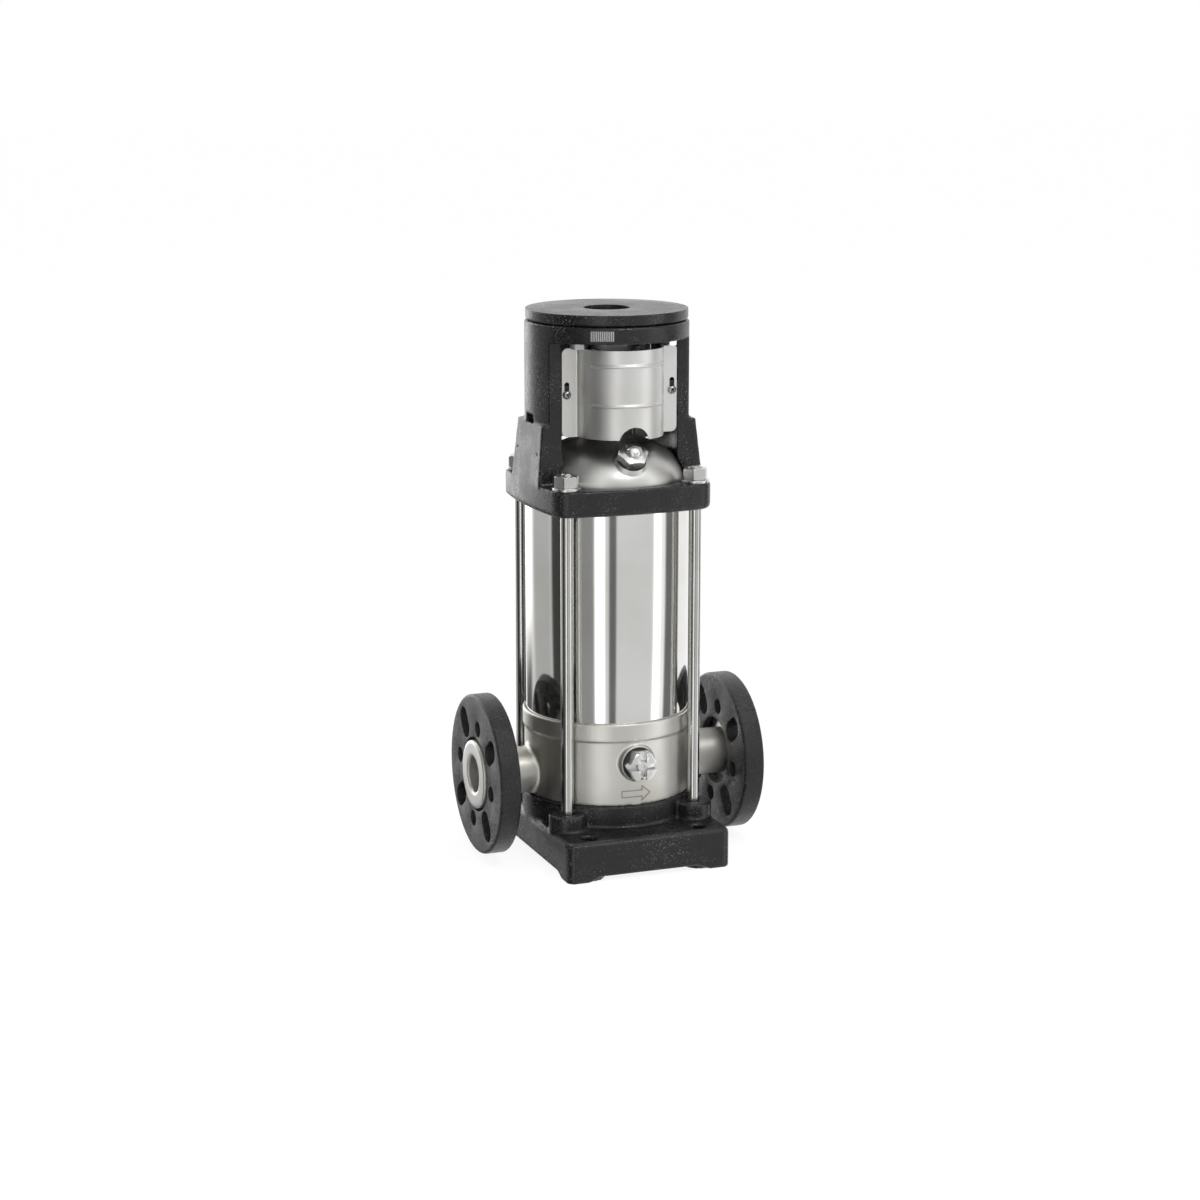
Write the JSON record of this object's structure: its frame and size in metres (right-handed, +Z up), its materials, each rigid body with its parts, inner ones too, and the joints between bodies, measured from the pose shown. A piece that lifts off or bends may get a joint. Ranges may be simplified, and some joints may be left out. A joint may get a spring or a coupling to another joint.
{
  "type": "vertical multistage pump",
  "caption": "Vertical multistage in-line pump end with loose port flanges, polished sleeve on a base plate, staybolts, motor stool, guarded shaft coupling and motor flange.",
  "frame": {"origin": "on the pump's axis, at the bottom of the base plate's feet", "axes": "+X from the suction port to the discharge port along the pipe, -Y to the side with the drain and priming plugs, +Z up along the shaft to the motor"},
  "size_m": [0.25, 0.213, 0.478],
  "materials": {
    "black_paint": "gloss black over rough iron casting",
    "cast_stainless": "blasted stainless casting, warm grey",
    "polished_sleeve": "mirror polished stainless tube",
    "satin_stainless": "satin stainless",
    "guard_sheet": "satin stainless sheet",
    "bright_steel": "bright drawn rod",
    "zinc_steel": "bright zinc plate",
    "shaft_steel": "ground shaft",
    "coupling_steel": "sintered iron, oiled",
    "plug_steel": "turned stainless",
    "seal_rubber": "matt rubber",
    "bearing_ceramic": "dark ceramic"
  },
  "bodies": {
    "pump": {"base_plate": "black_paint", "foot_casting": "cast_stainless", "suction_retaining_ring": "bright_steel", "discharge_retaining_ring": "bright_steel", "outer_sleeve": "polished_sleeve", "sleeve_gasket_lower": "seal_rubber", "sleeve_gasket_upper": "seal_rubber", "inlet_part": "satin_stainless", "chamber_1": "satin_stainless", "chamber_2": "satin_stainless", "chamber_3": "satin_stainless", "chamber_4": "satin_stainless", "chamber_5": "satin_stainless", "chamber_6": "satin_stainless", "neck_rings": "satin_stainless", "bearing_bushes": "bearing_ceramic", "top_chamber": "satin_stainless", "head_cover": "satin_stainless", "seal_gland": "satin_stainless", "motor_stool": "black_paint", "staybolts": "bright_steel", "staybolt_washers": "zinc_steel", "staybolt_nuts": "zinc_steel", "guard_front": "guard_sheet", "guard_rear": "guard_sheet", "guard_screws": "zinc_steel", "motor_flange": "black_paint", "motor_bolts": "zinc_steel"},
    "rotor": {"pump_shaft": "shaft_steel", "impeller_1": "satin_stainless", "impeller_2": "satin_stainless", "impeller_3": "satin_stainless", "impeller_4": "satin_stainless", "impeller_5": "satin_stainless", "impeller_6": "satin_stainless", "shaft_spacers": "shaft_steel", "shaft_nut": "zinc_steel", "shaft_washer": "zinc_steel", "seal_rotating_head": "shaft_steel", "seal_bellows": "seal_rubber", "coupling_half_front": "coupling_steel", "coupling_half_rear": "coupling_steel", "coupling_screws": "zinc_steel", "shaft_pin": "bright_steel"},
    "suction_flange": {"suction_flange": "black_paint"},
    "discharge_flange": {"discharge_flange": "black_paint"},
    "priming_gasket": {"priming_gasket": "seal_rubber"},
    "priming_plug": {"priming_plug": "plug_steel"},
    "vent_ring": {"vent_ring": "seal_rubber"},
    "vent_screw": {"vent_screw": "plug_steel"},
    "drain_gasket": {"drain_gasket": "seal_rubber"},
    "drain_plug": {"drain_plug": "plug_steel"},
    "spindle_ring": {"spindle_ring": "seal_rubber"},
    "bypass_spindle": {"bypass_spindle": "plug_steel"}
  },
  "joints": [
    {"name": "rotor_spin", "type": "hinge", "parent": "pump", "child": "rotor", "pos_m": [0, 0, 0.2], "axis": [0, 0, 1], "continuous": true},
    {"name": "suction_flange_swivel", "type": "hinge", "parent": "pump", "child": "suction_flange", "pos_m": [-0.1131, 0, 0.075], "axis": [-1, 0, 0], "continuous": true},
    {"name": "discharge_flange_swivel", "type": "hinge", "parent": "pump", "child": "discharge_flange", "pos_m": [0.1131, 0, 0.075], "axis": [1, 0, 0], "continuous": true},
    {"name": "priming_plug_travel", "type": "slide", "parent": "pump", "child": "priming_gasket", "axis": [0, -0.6426, 0.7662], "range_m": [0, 0.009]},
    {"name": "priming_plug_turn", "type": "hinge", "parent": "priming_gasket", "child": "priming_plug", "pos_m": [0, -0.0555, 0.35229], "axis": [0, -0.6426, 0.7662], "range_deg": [0, 1809]},
    {"name": "vent_screw_travel", "type": "slide", "parent": "priming_plug", "child": "vent_ring", "axis": [0, -0.6426, 0.7662], "range_m": [0, 0.005]},
    {"name": "vent_screw_turn", "type": "hinge", "parent": "vent_ring", "child": "vent_screw", "pos_m": [0, -0.0555, 0.35229], "axis": [0, -0.6426, 0.7662], "range_deg": [0, 1447.2]},
    {"name": "drain_plug_travel", "type": "slide", "parent": "pump", "child": "drain_gasket", "axis": [0, -1, 0], "range_m": [0, 0.009]},
    {"name": "drain_plug_turn", "type": "hinge", "parent": "drain_gasket", "child": "drain_plug", "pos_m": [0, -0.0726, 0.0925], "axis": [0, -1, 0], "range_deg": [0, 1809]},
    {"name": "bypass_spindle_travel", "type": "slide", "parent": "drain_plug", "child": "spindle_ring", "axis": [0, -1, 0], "range_m": [0, 0.003]},
    {"name": "bypass_spindle_turn", "type": "hinge", "parent": "spindle_ring", "child": "bypass_spindle", "pos_m": [0, -0.0726, 0.0925], "axis": [0, -1, 0], "range_deg": [0, 1085.4]}
  ],
  "couplings": [
    {"joint": "priming_plug_turn", "follows": "priming_plug_travel", "rad_per_m": 3490.7},
    {"joint": "vent_screw_turn", "follows": "vent_screw_travel", "rad_per_m": 5026.5},
    {"joint": "drain_plug_turn", "follows": "drain_plug_travel", "rad_per_m": 3490.7},
    {"joint": "bypass_spindle_turn", "follows": "bypass_spindle_travel", "rad_per_m": 6283.2}
  ]
}
